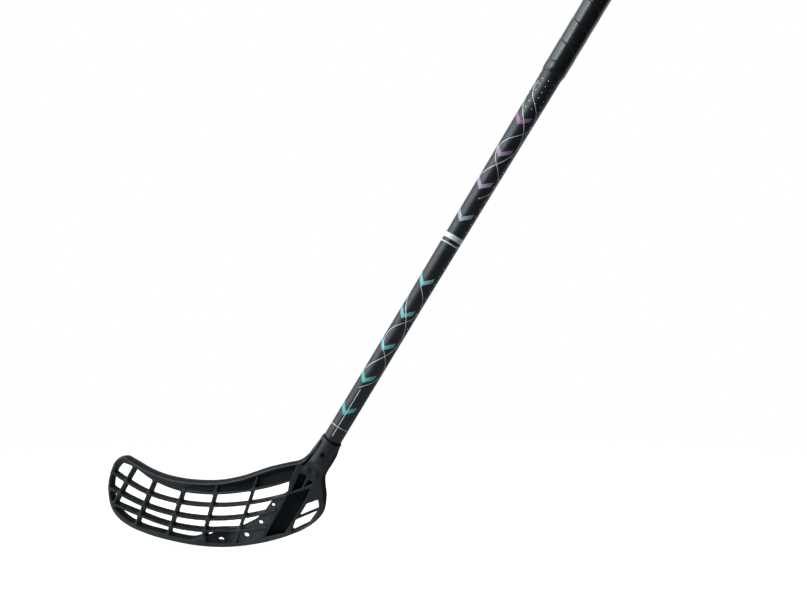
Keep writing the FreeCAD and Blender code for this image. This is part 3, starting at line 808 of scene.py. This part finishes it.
rows = (np.arange(int(np.ceil((grip_top - seam_start) / grip_pitch)) + 2)[:, None] + row_shares).ravel()
turns = np.arange(grip_steps) / grip_steps
tape_height = np.clip(seam_start + grip_pitch * (rows[:, None] - 1 + turns), grip_foot, grip_top)
tape_turns = np.broadcast_to(-turns * TURN, tape_height.shape)
tape_points = place_round(tape_height, tape_radius(tape_height, turns), tape_turns)
per_turn = len(row_shares)
row, step = np.meshgrid(np.arange(len(rows) - per_turn - 1), np.arange(grip_steps), indexing="ij")
beyond = np.where(step + 1 == grip_steps, per_turn, 0)
here = row * grip_steps + step
next_step = (row + beyond) * grip_steps + (step + 1) % grip_steps
tape_faces = np.stack([here, here + grip_steps, next_step + grip_steps, next_step], -1).reshape(-1, 4)
lining_height = np.repeat(np.array([grip_top, grip_top, grip_foot, grip_foot])[:, None], grip_steps, 1)
lining_radius = np.array([0, grip_inner, grip_inner, 0])[:, None] + np.zeros(grip_steps)
lining_radius[0], lining_radius[3] = tape_radius(lining_height[0], turns), tape_radius(lining_height[3], turns)
lining = place_round(lining_height, lining_radius, np.broadcast_to(-turns * TURN, lining_height.shape))
lining_faces = ring_quads(4, grip_steps, False)[:, ::-1] + tape_points.size // 3
tape_points, tape_faces = weld(
    np.concatenate([tape_points.reshape(-1, 3), lining.reshape(-1, 3)]), np.concatenate([tape_faces, lining_faces]))

grip_foam = plain_material(
    "grip_foam", 1700.0, 0.22, [(0.011, 0.0116, 0.0122), (0.017, 0.0180, 0.0190)], (0.25, 0.31), specular=0.54)
make_piece("grip_winding", tape_points, tape_faces, grip_foam, "stick", "grip_tape")

# %% [markdown]
# The finishing tape is a thin glossy band that presses the grip's end in. The end cap is a domed rubber head with two
# fine grooves, on a hollow plug.

# %% Finishing tape and end cap
band_tape = plain_material(
    "band_tape", 3000.0, 0.06, [(0.010, 0.0107, 0.0114), (0.016, 0.0171, 0.0182)], (0.30, 0.40), specular=0.52)
band_profile = [
    (636.45, 12.85), (636.45, 13.05), (636.9, 13.22), (639.0, 13.6), (641.0, 13.98), (641.9, 14.05), (646.0, 14.05),
    (650.2, 14.05), (650.45, 13.95), (650.45, 13.7), (641.4, 13.7), (641.4, 12.85)]
turned_piece("finishing_band", band_profile, 96, band_tape, "stick", "finishing_tape")

cap_rubber = plain_material(
    "cap_rubber", 1500.0, 0.15, [(0.012, 0.012, 0.013), (0.022, 0.022, 0.023)], (0.55, 0.70), specular=0.30)
dome_radius, cap_radius, cap_crown = 26.5, 14.0, 994.60
dome_turns = np.linspace(np.arcsin((cap_radius - 0.5) / dome_radius), 0, 9)
dome = list(zip(cap_crown - dome_radius * (1 - np.cos(dome_turns)), dome_radius * np.sin(dome_turns)))
cap_profile = [
    (984.65, 0), (984.65, 8.5), (984.4, 8.9), (970.0, 8.9), (957.0, 8.9), (956.65, 9.1), (956.65, 9.6), (957.85, 10.9),
    (970.0, 10.9), (984.65, 10.9), (984.65, 13.4), (984.8, 13.85), (985.2, 14.0), (986.3, 14.0), (986.5, 13.65),
    (986.8, 13.65), (987.0, 14.0), (987.9, 14.0), (988.1, 13.65), (988.4, 13.65), (988.6, 14.0), (989.8, 14.0),
    (990.5, 13.85)] + dome
cap_height, cap_radii = np.array(cap_profile).T
cap_steps = 96
cap_turns = np.broadcast_to(np.arange(cap_steps) / cap_steps * TURN, (len(cap_height), cap_steps))
cap_points = place_round(cap_height[:, None] + 0 * cap_turns, cap_radii[:, None] + 0 * cap_turns, cap_turns)
cap_points, cap_faces = weld(cap_points.reshape(-1, 3), ring_quads(len(cap_height), cap_steps, False))
make_piece("cap_head", cap_points, cap_faces, cap_rubber, "end_cap", "end_cap")

# %% [markdown]
# The screw keeps its frame piece, because its shape is right, and gets a dark steel.

# %% Screw
screw_steel = plain_material(
    "screw_steel", 4000.0, 0.08, [(0.010, 0.010, 0.0112), (0.019, 0.019, 0.0208)], (0.45, 0.60), metallic=1.0)
frame["nodes"]["blade_screw"].material_slots[0].material = screw_steel
print("the screw keeps its shape and gets dark steel")

# %% [markdown]
# ## Stage, light and camera
# The floor takes the shadow and fades out far from the stick. Floor and room are white to the camera, so the stick
# stands on a white ground. In mirrored rays the room is white only behind the stick, and the floor mostly at its left.

# %% Floor


def seen_rays(tree, behind):
    """One for rays that show the background: all from the camera, and mirrored or let through ones that go behind."""
    path = add(tree, "ShaderNodeLightPath").outputs
    mirrored = math(tree, "MAXIMUM", path["Is Glossy Ray"], path["Is Transmission Ray"])
    return math(tree, "MAXIMUM", path["Is Camera Ray"], math(tree, "MULTIPLY", mirrored, behind))


floor_paint, tree, shader = new_material("floor_paint")
marks = use_grain(tree, 300.0, 0.0)
paint = blend_colour(tree, marks["Tone"], (0.42, 0.42, 0.42, 1), (0.44, 0.44, 0.44, 1))
tree.links.new(paint, shader.inputs["Base Color"])
shader.inputs["Roughness"].default_value = 0.9
shader.inputs["Specular IOR Level"].default_value = 0.1
shader.inputs["Emission Color"].default_value = (1, 1, 1, 1)
spot = add(tree, "ShaderNodeTexCoord").outputs["Object"]
to_left = soft_step(tree, add(tree, "ShaderNodeSeparateXYZ", [(0, spot)]).outputs[0], -0.03, -0.14)
mirrored_share = math(tree, "MULTIPLY_ADD", to_left, 0.6, 0.06)
tree.links.new(math(tree, "MULTIPLY", seen_rays(tree, mirrored_share), 0.88), shader.inputs["Emission Strength"])
away = add(tree, "ShaderNodeVectorMath", [(0, spot)], operation="LENGTH").outputs["Value"]
shader_out = next(node for node in tree.nodes if node.type == "OUTPUT_MATERIAL")
clear = add(tree, "ShaderNodeBsdfTransparent")
fading = add(tree, "ShaderNodeMixShader", [
    (0, soft_step(tree, away, 0.55, 1.3)), (1, shader.outputs[0]), (2, clear.outputs[0])])
tree.links.new(fading.outputs[0], shader_out.inputs["Surface"])
half = 1.4
floor_corners = [(-half, -half, 0), (half, -half, 0), (half, half, 0), (-half, half, 0)]
floor_mesh = bpy.data.meshes.new("floor")
floor_mesh.from_pydata(floor_corners, [], [(0, 1, 2, 3)])
floor_mesh.materials.append(floor_paint)
floor = bpy.data.objects.new("floor", floor_mesh)
bpy.context.scene.collection.objects.link(floor)
print("floor", 2 * half, "m wide")

# %% [markdown]
# A large soft panel stands at the left and a small key light at the front left, so the round shaft shows one bright
# line on its left third. A fill behind lights the back and gives no gloss. The camera stands where the photo was taken.

# %% Light, room and camera


def soft_light(name, place, target, size, power, colour=(1, 1, 1)):
    """A square area light at a place, turned to face a target."""
    data = bpy.data.lights.new(name, "AREA")
    data.energy, data.size, data.color = power, size, colour
    lamp = bpy.data.objects.new(name, data)
    lamp.location = place
    lamp.rotation_euler = (Vector(target) - Vector(place)).to_track_quat("-Z", "Y").to_euler()
    bpy.context.scene.collection.objects.link(lamp)
    return lamp


cool = (0.85, 0.955, 1.0)
soft_light("key", (-1.6, -1.9, 2.2), (0.1, 0, 0.6), 0.9, 34.0, cool)
soft_light("left_panel", (-2.35, -0.62, 2.2), (0, 0, 0.45), 2.6, 96.0, cool)
soft_light("overhead", (0.0, 0.4, 3.0), (0, 0.2, 0), 3.0, 10.0)
back_fill = soft_light("back_fill", (-0.5, 2.5, 1.4), (0, 0, 0.35), 1.6, 24.0, cool)
back_fill.visible_glossy = False

world = bpy.data.worlds.new("room")
world.use_nodes = True
tree = world.node_tree
tree.nodes.clear()
room_light = add(tree, "ShaderNodeBackground", [("Color", (0.9, 0.95, 1.0, 1)), ("Strength", 0.035)])
white_wall = add(tree, "ShaderNodeBackground", [("Color", (1, 1, 1, 1)), ("Strength", 1.0)])
way = add(tree, "ShaderNodeSeparateXYZ", [(0, add(tree, "ShaderNodeTexCoord").outputs["Generated"])]).outputs
behind = soft_step(tree, way[1], 0.1, 0.5)
both = add(tree, "ShaderNodeMixShader", [
    (0, seen_rays(tree, behind)), (1, room_light.outputs[0]), (2, white_wall.outputs[0])])
add(tree, "ShaderNodeOutputWorld", [("Surface", both.outputs[0])])
bpy.context.scene.world = world

camera_data = bpy.data.cameras.new("camera")
camera_data.sensor_width, camera_data.lens = 36.0, 58.19
camera_data.clip_end = 50.0
camera = bpy.data.objects.new("camera", camera_data)
camera.location = (foot + np.array([158.139, -1500.0, 283.77])) * MM
camera.rotation_euler = (np.pi / 2, 0, 0)
bpy.context.scene.collection.objects.link(camera)
bpy.context.scene.camera = camera
bpy.context.scene.view_settings.view_transform = "Standard"
print("camera at", [round(value, 3) for value in camera.location])
